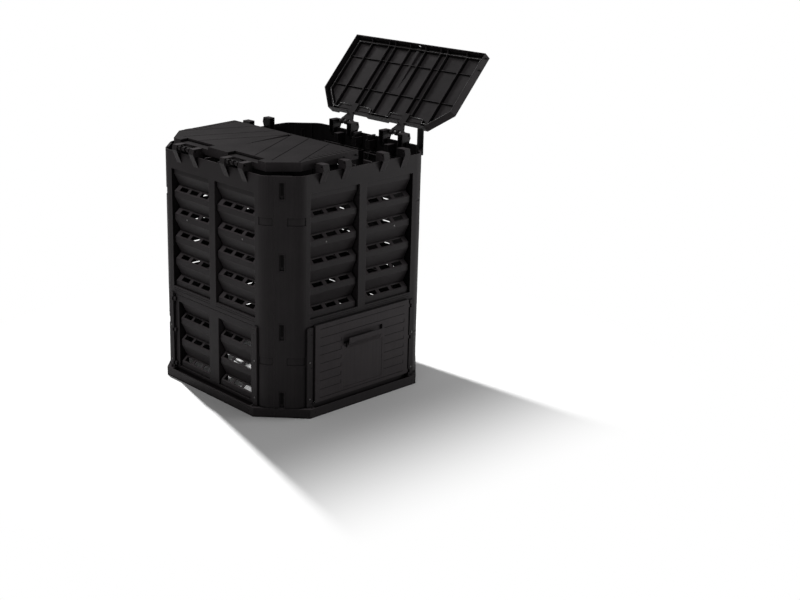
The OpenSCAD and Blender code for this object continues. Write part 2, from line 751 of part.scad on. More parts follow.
rib_half = tongue_w / 2 + lid_rib_t / 2 + slide_gap;
long_rib_us = [0.12 * lid_half, station_u - rib_half, station_u + rib_half, 0.735 * lid_half];
cross_rib_shares = [0.42, 0.77];

module flap_ribs() {
    z0 = lid_rise - lid_t - lid_rib_h;
    intersection() {
        translate([0, 0, z0]) linear_extrude(lid_rib_h + eps / 2) flap_outline(lid_t / 2);
        union() {
            for (s = [-1, 1], u = long_rib_us)
                translate([0, s * u - lid_rib_t / 2, z0])
                    cube([axis_x, lid_rib_t, lid_rib_h + eps / 2]);
            for (share = cross_rib_shares)
                translate([share * lid_end, -lid_half, z0 + lid_rib_h / 2])
                    cube([lid_rib_t, 2 * lid_half, lid_rib_h / 2 + eps / 2]);
        }
    }
    flap_band(rim_inset, rim_inset + lid_rib_t, z0, lid_rise - lid_t / 2);
    for (s = [-1, 1], u = long_rib_us)
        translate([0, s * u + lid_rib_t / 2, 0]) rotate([90, 0, 0]) linear_extrude(lid_rib_t) polygon([
            [lid_end - lid_t / 2, lid_low + lid_rib_t], [lid_end - lid_t / 2, z0 + lid_t],
            [lid_end - rim_inset - lid_rib_t / 2, z0 + lid_t], [lid_end - rim_inset - lid_rib_t / 2, z0]]);
}

// Grooves in the top that run like the veins of a leaf, and the scoop between them
vein_shares = [0, 0.27, 0.59];
mark_count = 10;
module flap_veins() {
    z = lid_rise - vein_d;
    intersection() {
        translate([0, 0, z]) linear_extrude(vein_d + eps) flap_outline(1.5 * lid_t);
        difference() {
            for (s = [-1, 1], share = vein_shares)
                translate([lid_end - 2 * lid_t, s * share * lid_half, z])
                    rotate([0, 0, 180 - s * vein_angle]) translate([0, -vein_w / 2, 0])
                        cube([lid_end, vein_w, vein_d + eps]);
            translate([0, -axis_x, z - eps]) cube([step_x + vein_w, 2 * axis_x, 4 * vein_d]);
        }
    }
    for (s = [-1, 1], k = [0 : mark_count - 1])
        translate([lid_end - (k + 0.5) * mark_pitch, s * (lid_half - lid_t - mark_len / 2) - mark_len / 2, z])
            cube([vein_w, mark_len, vein_d + eps]);
    for (s = [-1, 1])
        translate([step_x - vein_w, s > 0 ? station_u - step_half : -station_u - step_half, z])
            cube([vein_w, 2 * step_half, vein_d + eps]);
}

// Wedge of the finger scoop, in the flap's frame
module scoop(grow) {
    z = lid_rise + (grow > 0 ? -lid_t / 2 : eps);
    depth = 0.3 * lid_skirt;
    end_x = lid_end - 4 * lid_t + grow;
    start_x = end_x - 0.58 * lid_end;
    wide = 0.035 * lid_half + grow;
    polyhedron(
        points = [[start_x - grow, 0, z], [end_x, -wide, z], [end_x, wide, z],
            [end_x, -wide / 2, lid_rise - depth - grow], [end_x, wide / 2, lid_rise - depth - grow]],
        faces = [[0, 2, 1], [1, 2, 4, 3], [0, 1, 3], [0, 4, 2], [0, 3, 4]]);
}

module flap() {
    difference() {
        union() {
            translate([0, 0, lid_rise - lid_t]) linear_extrude(lid_t) flap_outline(0);
            flap_band(0, lid_t, lid_low, lid_rise - lid_t / 2);
            flap_ribs();
            intersection() {
                translate([0, 0, step_floor - lid_t]) linear_extrude(step_d + lid_t) flap_outline(0);
                translate([0, 0, -lid_t / 2]) step_box(lid_t);
            }
            scoop(lid_t);
        }
        step_box(0);
        flap_veins();
        scoop(0);
        arm_space();
        translate([lid_end - lid_t * 2, 0, lid_rise - lid_skirt / 2]) rotate([0, 90, 0])
            cylinder(d = 0.4 * lid_skirt, h = lid_t * 4);
    }
}

// Room for the arms under the steps and through the skirt
module arm_space() {
    for (u = stations)
        translate([lid_start - eps, u - tongue_w / 2 - slide_gap, lid_low - eps])
            cube([tongue_x1 - lid_start + eps + slide_gap, tongue_w + 2 * slide_gap,
                step_floor - lid_t - lid_low + eps]);
}
module lid_flap_left() { color(plastic) at_left_hinge() flap(); }
module lid_flap_right() { color(plastic) at_right_hinge() flap(); }

// Hinge arms and pins

tongue_x1 = step_x + lid_t + 3 * arm_t;
tongue_top = step_floor - lid_t;
tongue_low = tongue_top - 2.2 * arm_t;

// One hinge arm: knuckles on the pin, a braced arm and a tongue under the flap
module arm() {
    span = 2 * knuckle_pitch + knuckle_w;
    neck_x = lid_start - arm_t;
    difference() {
        union() {
            for (i = [-1 : 1]) {
                translate([0, i * knuckle_pitch, 0]) rotate([90, 0, 0])
                    cylinder(d = knuckle_d, h = knuckle_w, center = true);
                translate([0, i * knuckle_pitch - knuckle_w / 2, tongue_low])
                    cube([knuckle_d / 2 + 2 * arm_t, knuckle_w, tongue_top - tongue_low + arm_t]);
            }
            translate([knuckle_d / 2 + arm_t, -span / 2, tongue_low])
                cube([arm_t, span, tongue_top - tongue_low + arm_t]);
            translate([0, 0, tongue_low]) linear_extrude(arm_t) polygon([
                [knuckle_d / 2 + arm_t, -span / 2], [neck_x, -tongue_w / 2],
                [neck_x, tongue_w / 2], [knuckle_d / 2 + arm_t, span / 2]]);
            for (i = [-1 : 1]) arm_ridge(i, neck_x);
            translate([neck_x - eps, -tongue_w / 2, tongue_low])
                cube([tongue_x1 - neck_x + eps, tongue_w, arm_t]);
            for (s = [-1, 1])
                translate([neck_x - eps, s > 0 ? tongue_w / 2 - arm_t : -tongue_w / 2, tongue_low])
                    cube([tongue_x1 - neck_x + eps, arm_t, tongue_top - tongue_low]);
            translate([tongue_x1 - 2.4 * arm_t, -tongue_w / 2, tongue_low])
                cube([2.4 * arm_t, tongue_w, lid_rise - lid_t - tongue_low]);
        }
        rotate([90, 0, 0]) cylinder(d = pin_d + 2 * pin_fit, h = 2 * span, center = true);
    }
}

// Upright rib of the arm from a knuckle to the tongue
module arm_ridge(i, neck_x) {
    x0 = knuckle_d / 2 + arm_t;
    y0 = i * (knuckle_pitch + knuckle_w / 2 - arm_t / 2);
    y1 = i * (tongue_w - arm_t) / 2;
    translate([0, 0, tongue_low]) linear_extrude(tongue_top - tongue_low) polygon([
        [x0, y0 - arm_t / 2], [neck_x + arm_t / 4, y1 - arm_t / 2],
        [neck_x + arm_t / 4, y1 + arm_t / 2], [x0, y0 + arm_t / 2]]);
}
module hinge_arm_left_front() { color(plastic) at_left_hinge() translate([0, -station_u, 0]) arm(); }
module hinge_arm_left_back() { color(plastic) at_left_hinge() translate([0, station_u, 0]) arm(); }
module hinge_arm_right_front() { color(plastic) at_right_hinge() translate([0, -station_u, 0]) arm(); }
module hinge_arm_right_back() { color(plastic) at_right_hinge() translate([0, station_u, 0]) arm(); }

// Two pins on one hinge axis, each held in the inner cheeks of a pair of posts
module pins() {
    for (u = stations) translate([0, u, 0]) rotate([90, 0, 0])
        cylinder(d = pin_d, h = post_gap + 2 * pin_grip, center = true);
}
module hinge_pins_left() { color(plastic) translate([-axis_x, 0, axis_z]) pins(); }
module hinge_pins_right() { color(plastic) translate([axis_x, 0, axis_z]) pins(); }

// Clips of one corner joint, drawn at the right end of the wall that faces -Y
module clips() {
    deep = leaf_in + wall_t + clip_play;
    on_slant() for (z = slots) {
        translate([mid_run - clip_w / 2, clip_play, z - clip_h / 2]) cube([clip_w, deep, clip_h]);
        translate([mid_run - clip_w / 2, clip_play, z - clip_h / 2])
            cube([clip_w, wall_t - clip_play, (slot_h + clip_h) / 2 - 2 * clip_play]);
        translate([mid_run - clip_w / 2, deep, z - slot_h / 2])
            cube([clip_w, wall_t / 2 + clip_play, slot_h]);
    }
}
module panel_clips_front_right() { color(plastic) clips(); }
module panel_clips_front_left() { color(plastic) rotate([0, 0, -90]) clips(); }
module panel_clips_back_left() { color(plastic) rotate([0, 0, 180]) clips(); }
module panel_clips_back_right() { color(plastic) rotate([0, 0, 90]) clips(); }

// Upright channel that stands astride the front right corner joint
module corner_upright() {
    wall_sum = leaf_in + wall_t;
    side = (upright_w - wall_sum) / 2;
    color(plastic) on_slant() translate([mid_run - upright_l / 2, wall_sum / 2, wall_h - upright_down])
        difference() {
            translate([0, -upright_w / 2, 0]) cube([upright_l, upright_w, upright_down + upright_up]);
            translate([-eps, -wall_sum / 2 - slide_gap / 2, -eps])
                cube([upright_l + 2 * eps, wall_sum + slide_gap, upright_down + eps + slide_gap]);
            translate([-eps, -upright_w / 2 + wall_t, upright_down + wall_t])
                cube([upright_l - wall_t + eps, upright_w - 2 * wall_t, upright_up]);
        }
}

wall_front();
wall_left();
wall_back();
wall_right();
louvre_insert_left();
louvre_insert_back();
louvre_insert_right();
sliding_hatch();
lid_flap_left();
lid_flap_right();
hinge_arm_left_front();
hinge_arm_left_back();
hinge_arm_right_front();
hinge_arm_right_back();
hinge_pins_left();
hinge_pins_right();
panel_clips_front_left();
panel_clips_back_left();
panel_clips_back_right();
panel_clips_front_right();
corner_upright();
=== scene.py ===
# %% [markdown]
# ## A compost bin with a lid
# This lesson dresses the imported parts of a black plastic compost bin.
# The parts come from the CAD model, so their sizes and places are already right.
# Blender adds what CAD leaves out: the finish of the plastic, the small moulding
# marks, the light, the floor and the camera.

# %% Load the parts
import math
import bpy
import bmesh
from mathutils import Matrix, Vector


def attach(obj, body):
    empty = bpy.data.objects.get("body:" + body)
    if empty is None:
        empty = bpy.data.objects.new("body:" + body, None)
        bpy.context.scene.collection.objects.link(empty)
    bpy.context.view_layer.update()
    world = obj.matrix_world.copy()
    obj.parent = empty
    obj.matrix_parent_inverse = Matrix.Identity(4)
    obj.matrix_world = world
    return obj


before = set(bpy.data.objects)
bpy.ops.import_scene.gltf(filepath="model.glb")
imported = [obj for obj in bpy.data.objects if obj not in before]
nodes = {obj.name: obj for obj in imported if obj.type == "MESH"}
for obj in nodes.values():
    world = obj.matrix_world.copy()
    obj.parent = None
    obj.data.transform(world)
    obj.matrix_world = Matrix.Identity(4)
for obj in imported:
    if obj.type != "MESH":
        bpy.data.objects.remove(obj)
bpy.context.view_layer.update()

# %% [markdown]
# ### The camera
# The photograph was taken from the front left corner, a little above the lid.
# A camera can be placed by hand until the render fits, but here its place was worked
# out from corners of the bin whose real positions are known. The bin stands left of
# the middle of the picture. A small lens shift does that without turning the camera,
# so upright edges stay upright in the same way as in the photograph.

# %% Place the camera
PICTURE_WIDE = 800
PICTURE_HIGH = 600
LENS_PIXELS = 1354.76
LENS_AXIS_X = 278.19
LENS_AXIS_Y = 251.31
SENSOR_WIDE = 36.0
CLIP_FAR = 60.0

def place_camera(azimuth, elevation, distance, aim):
    """A camera on a sphere round the aim, where azimuth 0 looks along +Y."""
    a, e = math.radians(azimuth), math.radians(elevation)
    back = Vector((math.sin(a) * math.cos(e), -math.cos(a) * math.cos(e), math.sin(e)))
    data = bpy.data.cameras.new("photo camera")
    camera = bpy.data.objects.new("photo camera", data)
    bpy.context.scene.collection.objects.link(camera)
    camera.location = Vector(aim) + back * distance
    camera.rotation_euler = (-back).to_track_quat("-Z", "Y").to_euler()
    data.sensor_width = SENSOR_WIDE
    data.lens = LENS_PIXELS * SENSOR_WIDE / PICTURE_WIDE
    data.shift_x = (PICTURE_WIDE / 2 - LENS_AXIS_X) / PICTURE_WIDE
    data.shift_y = -(PICTURE_HIGH / 2 - LENS_AXIS_Y) / PICTURE_WIDE
    data.clip_end = CLIP_FAR
    bpy.context.scene.camera = camera
    return camera

camera = place_camera(azimuth=-39.613, elevation=16.518, distance=4.5976,
                      aim=(0.0063, 0.0859, 0.4000))
print("lens", round(camera.data.lens, 2), "mm, shift", round(camera.data.shift_x, 4))

# %% [markdown]
# ### Small helpers for materials
# Every material here is made of nodes. A few short helpers keep the recipes readable:
# they add a node, join two sockets, do sums, start a group and place one.
# A group is a recipe of its own with named inputs, so several plastics can share it.

# %% Helpers for nodes
def add(tree, kind, **values):
    """A new node; values are its settings or, where the name fits, its input sockets."""
    node = tree.nodes.new(kind)
    for name, value in values.items():
        if hasattr(node, name):
            setattr(node, name, value)
        else:
            node.inputs[name.replace("_", " ")].default_value = value
    return node

def join(tree, source, target):
    """Feeds an input socket from another socket, or sets it to a plain value."""
    if isinstance(source, bpy.types.NodeSocket):
        tree.links.new(source, target)
    else:
        target.default_value = source

def math_node(tree, operation, first, second, clamp=False):
    """A Math node whose inputs are sockets or plain numbers; gives its output."""
    node = add(tree, "ShaderNodeMath", operation=operation, use_clamp=clamp)
    join(tree, first, node.inputs[0])
    join(tree, second, node.inputs[1])
    return node.outputs[0]

def vector_node(tree, operation, first, second, result):
    """The same for a Vector Math node; result names the output that is wanted."""
    node = add(tree, "ShaderNodeVectorMath", operation=operation)
    join(tree, first, node.inputs[0])
    join(tree, second, node.inputs[1])
    return node.outputs[result]

def map_range(tree, value, start, end, low=0.0, high=1.0, curve="LINEAR"):
    """A Map Range node: low where value is at start, high where it is at end."""
    node = add(tree, "ShaderNodeMapRange", interpolation_type=curve,
               From_Min=start, From_Max=end)
    join(tree, value, node.inputs["Value"])
    join(tree, low, node.inputs["To Min"])
    join(tree, high, node.inputs["To Max"])
    return node.outputs[0]

# %% Helpers for groups
FLOAT = "NodeSocketFloat"
VECTOR = "NodeSocketVector"

def start_group(name, inputs, outputs):
    """A shader node group with float or vector sockets, its input and output nodes."""
    tree = bpy.data.node_groups.new(name, "ShaderNodeTree")
    for socket, (kind, value) in inputs.items():
        made = tree.interface.new_socket(socket, in_out="INPUT", socket_type=kind)
        made.default_value = value
    for socket, kind in outputs.items():
        tree.interface.new_socket(socket, in_out="OUTPUT", socket_type=kind)
    given = tree.nodes.new("NodeGroupInput").outputs
    result = tree.nodes.new("NodeGroupOutput").inputs
    return tree, given, result

def place_group(tree, group, **values):
    """A copy of a node group in a material, with its inputs set."""
    node = tree.nodes.new("ShaderNodeGroup")
    node.node_tree = group
    for name, value in values.items():
        node.inputs[name.replace("_", " ")].default_value = value
    return node

# %% [markdown]
# ### Plastic grain
# Moulded plastic copies the surface of its steel mould, which is spark eroded or
# etched to a fine grain. Up close it is a field of tiny bumps about half a millimetre
# wide. Two noise textures give it: a fine one for the grain, and a broad one that
# makes the surface wave a little, as thin moulded walls do when they cool.

# %% Build the grain group
def build_grain():
    """Height of the mould's grain, and the slow waves of a thin wall."""
    tree, given, result = start_group(
        "plastic grain",
        {"Grain Scale": (FLOAT, 1400.0), "Grain Share": (FLOAT, 0.1),
         "Wave Scale": (FLOAT, 9.0), "Wave Share": (FLOAT, 0.5)},
        {"Height": FLOAT})
    place = add(tree, "ShaderNodeTexCoord")
    fine = add(tree, "ShaderNodeTexNoise", Detail=2.0, Roughness=0.6)
    wave = add(tree, "ShaderNodeTexNoise", Detail=1.0, Roughness=0.4)
    for noise, scale in ((fine, "Grain Scale"), (wave, "Wave Scale")):
        join(tree, place.outputs["Object"], noise.inputs["Vector"])
        join(tree, given[scale], noise.inputs["Scale"])
    slow = math_node(tree, "MULTIPLY", wave.outputs["Fac"], given["Wave Share"])
    grain = math_node(tree, "MULTIPLY", fine.outputs["Fac"], given["Grain Share"])
    join(tree, math_node(tree, "ADD", slow, grain), result["Height"])
    return tree

grain_group = build_grain()
print("built", grain_group.name)

# %% [markdown]
# ### Flow streaks
# Black plastic shows how it ran into the mould: faint upright streaks and cloudy
# patches where the flow cooled. The streaks are noise that is stretched along one
# direction, and the clouds are noise that isn't. Both only tint the colour a little.

# %% Build the streak group
NOISE_MIDDLE = 0.5
NOISE_GAIN = 4.0
DARKEST_TINT = 0.15

def build_streaks():
    """A value round 1 that lightens and darkens the colour in streaks and clouds."""
    tree, given, result = start_group(
        "flow streaks",
        {"Across": (FLOAT, 220.0), "Along": (FLOAT, 4.0), "Streak Amount": (FLOAT, 0.3),
         "Cloud Scale": (FLOAT, 14.0), "Cloud Amount": (FLOAT, 0.25)},
        {"Tint": FLOAT, "Streaks": FLOAT})
    place = add(tree, "ShaderNodeTexCoord")
    apart = add(tree, "ShaderNodeSeparateXYZ")
    join(tree, place.outputs["Object"], apart.inputs[0])
    stretched = add(tree, "ShaderNodeCombineXYZ")
    for axis, amount in (("X", "Across"), ("Y", "Across"), ("Z", "Along")):
        join(tree, math_node(tree, "MULTIPLY", apart.outputs[axis], given[amount]),
             stretched.inputs[axis])
    streak = add(tree, "ShaderNodeTexNoise", Scale=1.0, Detail=3.0, Roughness=0.65)
    join(tree, stretched.outputs[0], streak.inputs["Vector"])
    cloud = add(tree, "ShaderNodeTexNoise", Detail=2.0, Roughness=0.55)
    join(tree, place.outputs["Object"], cloud.inputs["Vector"])
    join(tree, given["Cloud Scale"], cloud.inputs["Scale"])
    total = 1.0
    for source, amount in ((streak, "Streak Amount"), (cloud, "Cloud Amount")):
        centred = math_node(tree, "SUBTRACT", source.outputs["Fac"], NOISE_MIDDLE)
        wide = math_node(tree, "MULTIPLY", centred, NOISE_GAIN)
        lift = math_node(tree, "MULTIPLY", wide, given[amount])
        total = math_node(tree, "ADD", lift, total)
    join(tree, math_node(tree, "MAXIMUM", total, DARKEST_TINT), result["Tint"])
    join(tree, streak.outputs["Fac"], result["Streaks"])
    return tree

streak_group = build_streaks()
print("built", streak_group.name)

# %% [markdown]
# ### Painted edge highlights and painted groove shade
# The colour is lightened along outer edges, a painted highlight, and darkened in
# grooves and corners, a painted shade. Ambient Occlusion finds both. Looking into
# the plastic, its rays meet another face only close to an outer edge. Looking out, they
# meet one only in a groove or a corner. A Bevel node rounds the edges for the light.

# %% Build the edge group
GROOVE_DEEP = 0.64
GROOVE_OPEN = 0.92

def build_edges():
    """Masks of the painted edge highlight and the painted groove shade, and the normal that
    rounds edges.
    """
    tree, given, result = start_group(
        "edges and grooves",
        {"Radius": (FLOAT, 0.0018), "Strength": (FLOAT, 1.6), "Groove Reach": (FLOAT, 0.006),
         "Groove Shade": (FLOAT, 0.35), "Round": (FLOAT, 0.0012)},
        {"Edge": FLOAT, "Open": FLOAT, "Normal": VECTOR})
    # Looking in: the Edge mask, which paints a highlight on outer edges.
    inward = add(tree, "ShaderNodeAmbientOcclusion", samples=6, inside=True, only_local=True)
    join(tree, given["Radius"], inward.inputs["Distance"])
    met = math_node(tree, "SUBTRACT", 1.0, inward.outputs["AO"])
    join(tree, math_node(tree, "MULTIPLY", met, given["Strength"], clamp=True),
         result["Edge"])
    # Looking out: the Open mask, darker in grooves and corners, a painted shade.
    outward = add(tree, "ShaderNodeAmbientOcclusion", samples=6)
    join(tree, given["Groove Reach"], outward.inputs["Distance"])
    join(tree, map_range(tree, outward.outputs["AO"], GROOVE_DEEP, GROOVE_OPEN,
                         low=given["Groove Shade"]), result["Open"])
    bevel = add(tree, "ShaderNodeBevel", samples=4)
    join(tree, given["Round"], bevel.inputs["Radius"])
    join(tree, bevel.outputs[0], result["Normal"])
    return tree

edge_group = build_edges()
print("built", edge_group.name)

# %% [markdown]
# ### Painted light and shade by facing
# This group paints light and shade into the colour by the way a face looks. The
# underside of a lid is darkened, a painted shade. Faces that look into the bin are
# darkened, a painted shade, and faces that look up are lightened, a painted light.
# All three follow from where a face looks, so the group measures that from its normal:
# against a given side, against the way out from the middle of the bin, and against
# straight up. A shade or light of 1, or a side of no length, leaves that mark out.

# %% Build the group for painted light and shade by facing
UNDERSIDE_FROM, UNDERSIDE_FULL = 0.3, 0.8
INWARD_FULL, INWARD_FROM = -0.16, -0.04
UPWARD_FROM, UPWARD_FULL = 0.45, 0.8

def build_painted_facing():
    """A value that paints shade on undersides and inner faces and light on faces that look up.
    """
    tree, given, result = start_group(
        "painted light and shade by facing",
        {"Inner Side": (VECTOR, (0.0, 0.0, 0.0)), "Inner Shade": (FLOAT, 0.85),
         "Stain Shade": (FLOAT, 1.0), "Dust Lift": (FLOAT, 1.0)},
        {"Tint": FLOAT})
    place = add(tree, "ShaderNodeTexCoord")
    looks = place.outputs["Normal"]
    to_side = vector_node(tree, "DOT_PRODUCT", looks, given["Inner Side"], "Value")
    under = map_range(tree, to_side, UNDERSIDE_FROM, UNDERSIDE_FULL,
                      low=1.0, high=given["Inner Shade"])
    level = vector_node(tree, "MULTIPLY", place.outputs["Object"], (1.0, 1.0, 0.0), "Vector")
    outward = vector_node(tree, "DOT_PRODUCT", looks, level, "Value")
    painted_inside_shade = map_range(tree, outward, INWARD_FULL, INWARD_FROM, low=given["Stain Shade"])
    apart = add(tree, "ShaderNodeSeparateXYZ")
    join(tree, looks, apart.inputs[0])
    painted_top_light = map_range(tree, apart.outputs["Z"], UPWARD_FROM, UPWARD_FULL,
                     low=1.0, high=given["Dust Lift"])
    both = math_node(tree, "MULTIPLY", painted_inside_shade, painted_top_light)
    join(tree, math_node(tree, "MULTIPLY", under, both), result["Tint"])
    return tree

painted_facing_group = build_painted_facing()
print("built", painted_facing_group.name)

# %% [markdown]
# ### Black moulded plastic
# All pieces of the bin are black plastic, but not one black. The walls are matt with
# upright streaks. On the walls and inserts, faces that look into the bin are darkened,
# a painted shade, and faces that look up are lightened, a painted light. The lid is a
# little lighter, and its underside is darkened, a painted shade. The small fittings
# are darker, the clips near black, which paints the shade of their slots, and the
# beads are glossy. Outer edges get a painted highlight and grooves a painted shade.
# One function places the groups in a material, and each plastic gets its own values.
# The colour itself is very dark, so most of what is seen is soft gloss. The streaks
# also change the roughness a little, which breaks up the gloss.

# %% Mix a black plastic
# A Mix node has sockets for numbers, vectors and colours; these are the colours' places.
MIX_FACTOR, MIX_FIRST, MIX_SECOND, MIX_RESULT = 0, 6, 7, 2
STREAK_LOW, STREAK_HIGH = 0.3, 0.7
ROUGH_SWING = 0.06
BUMP_STRENGTH = 0.35
BUMP_HEIGHT = 0.0006

def colour_mix(tree, blend, factor, first, second):
    """A Mix node for colours, fed by sockets or plain values; gives its output."""
    node = add(tree, "ShaderNodeMix", data_type="RGBA", blend_type=blend)
    for index, value in ((MIX_FACTOR, factor), (MIX_FIRST, first), (MIX_SECOND, second)):
        join(tree, value, node.inputs[index])
    return node.outputs[MIX_RESULT]

def black_plastic(name, colour, rough, gloss, streaks, clouds, edge_highlight,
                  groove=0.1, round_edge=0.0012, **marks):
    """A black plastic with streaks and clouds, a painted highlight on its edges, painted shade
    in its grooves and, if given, painted light and shade by facing.
    """
    material = bpy.data.materials.new(name)
    material.use_nodes = True
    tree = material.node_tree
    shader = tree.nodes["Principled BSDF"]
    shader.inputs["Specular IOR Level"].default_value = gloss
    flow = place_group(tree, streak_group, Streak_Amount=streaks, Cloud_Amount=clouds)
    edges = place_group(tree, edge_group, Groove_Shade=groove, Round=round_edge)
    # Open darkens grooves and corners: painted shade.
    tint = math_node(tree, "MULTIPLY", flow.outputs["Tint"], edges.outputs["Open"])
    # Painted light and shade by facing, where the plastic is given them.
    if marks:
        facing_paint = place_group(tree, painted_facing_group, **marks)
        tint = math_node(tree, "MULTIPLY", tint, facing_paint.outputs["Tint"])
    base = colour_mix(tree, "MULTIPLY", 1.0, (*colour, 1.0), tint)
    # Outer edges are lightened: a painted highlight.
    edge_highlight_colour = (*[c * edge_highlight for c in colour], 1.0)
    colour_with_painted_edges = colour_mix(tree, "MIX", edges.outputs["Edge"], base, edge_highlight_colour)
    join(tree, colour_with_painted_edges, shader.inputs["Base Color"])
    join(tree, map_range(tree, flow.outputs["Streaks"], STREAK_LOW, STREAK_HIGH,
                         rough - ROUGH_SWING, rough + ROUGH_SWING), shader.inputs["Roughness"])
    grain = place_group(tree, grain_group)
    bump = add(tree, "ShaderNodeBump", Strength=BUMP_STRENGTH, Distance=BUMP_HEIGHT)
    join(tree, grain.outputs["Height"], bump.inputs["Height"])
    join(tree, edges.outputs["Normal"], bump.inputs["Normal"])
    join(tree, bump.outputs[0], shader.inputs["Normal"])
    return material

# %% Mix the plastics of the bin
OPEN_ANGLE = math.radians(130)
OPEN_UNDERSIDE = (-math.sin(OPEN_ANGLE), 0.0, -math.cos(OPEN_ANGLE))
CLOSED_UNDERSIDE = (0.0, 0.0, -1.0)
WALL_BLACK = (0.0160, 0.0140, 0.0148)
LID_BLACK = (0.0205, 0.0180, 0.0190)
# Walls and inserts: painted shade on faces that look into the bin, painted light on faces that
# look up.
PAINTED_INSIDE_SHADE_AND_TOP_LIGHT = {"Stain_Shade": 0.25, "Dust_Lift": 2.6}

wall_plastic = black_plastic(
    "wall plastic", WALL_BLACK, rough=0.54, gloss=0.09, streaks=0.16, clouds=0.10,
    edge_highlight=1.9, **PAINTED_INSIDE_SHADE_AND_TOP_LIGHT)
insert_plastic = black_plastic(
    "insert plastic", WALL_BLACK, rough=0.54, gloss=0.09, streaks=0.14, clouds=0.10,
    edge_highlight=1.9, **PAINTED_INSIDE_SHADE_AND_TOP_LIGHT)
hatch_plastic = black_plastic(
    "hatch plastic", (0.0310, 0.0272, 0.0286), rough=0.54, gloss=0.08, streaks=0.14,
    clouds=0.08, edge_highlight=1.0, groove=0.0, round_edge=0.0005)
# The lid plastics get a painted shade on the underside, the side given as Inner_Side.
lid_plastic = black_plastic(
    "lid plastic", LID_BLACK, rough=0.60, gloss=0.06, streaks=0.08, clouds=0.22,
    edge_highlight=1.2, groove=0.0, round_edge=0.0006, Inner_Side=CLOSED_UNDERSIDE)
open_lid_plastic = black_plastic(
    "open lid plastic", LID_BLACK, rough=0.60, gloss=0.06, streaks=0.10, clouds=0.30,
    edge_highlight=1.2, groove=0.04, round_edge=0.0006, Inner_Side=OPEN_UNDERSIDE)
print("underside of the open lid looks to", [round(v, 3) for v in OPEN_UNDERSIDE])

# %% Mix the plastics of the fittings
fitting_plastic = black_plastic(
    "fitting plastic", (0.0130, 0.0114, 0.0120), rough=0.56, gloss=0.04, streaks=0.06,
    clouds=0.06, edge_highlight=2.4)
upright_plastic = black_plastic(
    "upright plastic", (0.0035, 0.0033, 0.0034), rough=0.50, gloss=0.25, streaks=0.08,
    clouds=0.08, edge_highlight=8.0)
# Near black: the clips paint the shade of the slots they sit in.
clip_plastic = black_plastic(
    "clip plastic", (0.0030, 0.0027, 0.0028), rough=0.60, gloss=0.04, streaks=0.06,
    clouds=0.06, edge_highlight=9.0, groove=0.0)
rubbed_plastic = black_plastic(
    "rubbed plastic", (0.0300, 0.0280, 0.0285), rough=0.30, gloss=0.50, streaks=0.05,
    clouds=0.05, edge_highlight=3.0)
print(len(bpy.data.materials), "materials")

# %% [markdown]
# ### Dress the parts
# Each CAD part keeps its shape. Only its material slot changes, which is why the part
# is looked up by name and gets the plastic that suits it.

# %% Dress the parts
PLASTICS = {
    "wall_": wall_plastic, "louvre_insert": insert_plastic, "sliding_hatch": hatch_plastic,
    "lid_flap_left": lid_plastic, "lid_flap_right": open_lid_plastic,
    "corner_upright": upright_plastic, "panel_clips": clip_plastic}

def plastic_for(name):
    """The plastic of a CAD part; what isn't listed is a small fitting."""
    for start, plastic in PLASTICS.items():
        if name.startswith(start):
            return plastic
    return fitting_plastic

for name, part in nodes.items():
    part.data.materials.clear()
    part.data.materials.append(plastic_for(name))
print("dressed", sorted(nodes))

# %% [markdown]
# ### The bead on the rim under a flap
# Under each flap runs a rim that stiffens it. On the real lid its edge is a small
# rounded bead that goes round the boxes over the hinge arms, and it shines where hands
# and rain have rubbed it. A bead is a circle swept along a line of corners. Blender can
# do that with a curve's bevel, but a mesh made ring by ring keeps the corners mitred.
# The line is drawn once, on a closed flap, and both flaps get a copy.

# %% Places on a flap
MM = 0.001
HINGE_X = 346.0
HINGE_Z = 796.0
LID_TILT = math.radians(1.46)

def tilted(x, z):
    """Run and rise of a point on a closed flap, which slopes a little."""
    run = x * math.cos(LID_TILT) - z * math.sin(LID_TILT)
    rise = x * math.sin(LID_TILT) + z * math.cos(LID_TILT)
    return run, rise

def on_left_flap(point):
    """From a flap's own millimetres to the scene, for the closed left flap."""
    run, rise = tilted(point[0], point[2])
    return Vector((run - HINGE_X, point[1], rise + HINGE_Z)) * MM

def on_right_flap(point):
    """The same for the right flap, which is the left one's mirror image, swung open."""
    run, rise = tilted(point[0], point[2])
    swung_x = -run * math.cos(OPEN_ANGLE) + rise * math.sin(OPEN_ANGLE)
    swung_z = run * math.sin(OPEN_ANGLE) + rise * math.cos(OPEN_ANGLE)
    return Vector((swung_x + HINGE_X, point[1], swung_z + HINGE_Z)) * MM

FLAPS = {"left": on_left_flap, "right": on_right_flap}
print("hinge of the open flap at", on_right_flap((0, 0, 0)))

# %% Rings, skins and finished pieces
def ring(bm, centre, side, up, sides):
    """Corners round an ellipse, whose two half widths are the vectors side and up."""
    turns = (2 * math.pi * k / sides for k in range(sides))
    return [bm.verts.new(centre + side * math.cos(t) + up * math.sin(t)) for t in turns]

def skin(bm, rings):
    """Faces between neighbouring rings, and a flat face on each end."""
    for a, b in zip(rings, rings[1:]):
        for k in range(len(a)):
            after = (k + 1) % len(a)
            bm.faces.new((a[k], a[after], b[after], b[k]))
    bm.faces.new(reversed(rings[0]))
    bm.faces.new(rings[-1])

def finish_piece(bm, name, material, body):
    """A mesh object from the bmesh, smooth, in its plastic, riding on its body."""
    bmesh.ops.recalc_face_normals(bm, faces=bm.faces)
    mesh = bpy.data.meshes.new(name)
    bm.to_mesh(mesh)
    bm.free()
    mesh.shade_smooth()
    mesh.materials.append(material)
    piece = bpy.data.objects.new(name, mesh)
    bpy.context.scene.collection.objects.link(piece)
    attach(piece, body)
    print(name, len(mesh.polygons), "faces")
    return piece

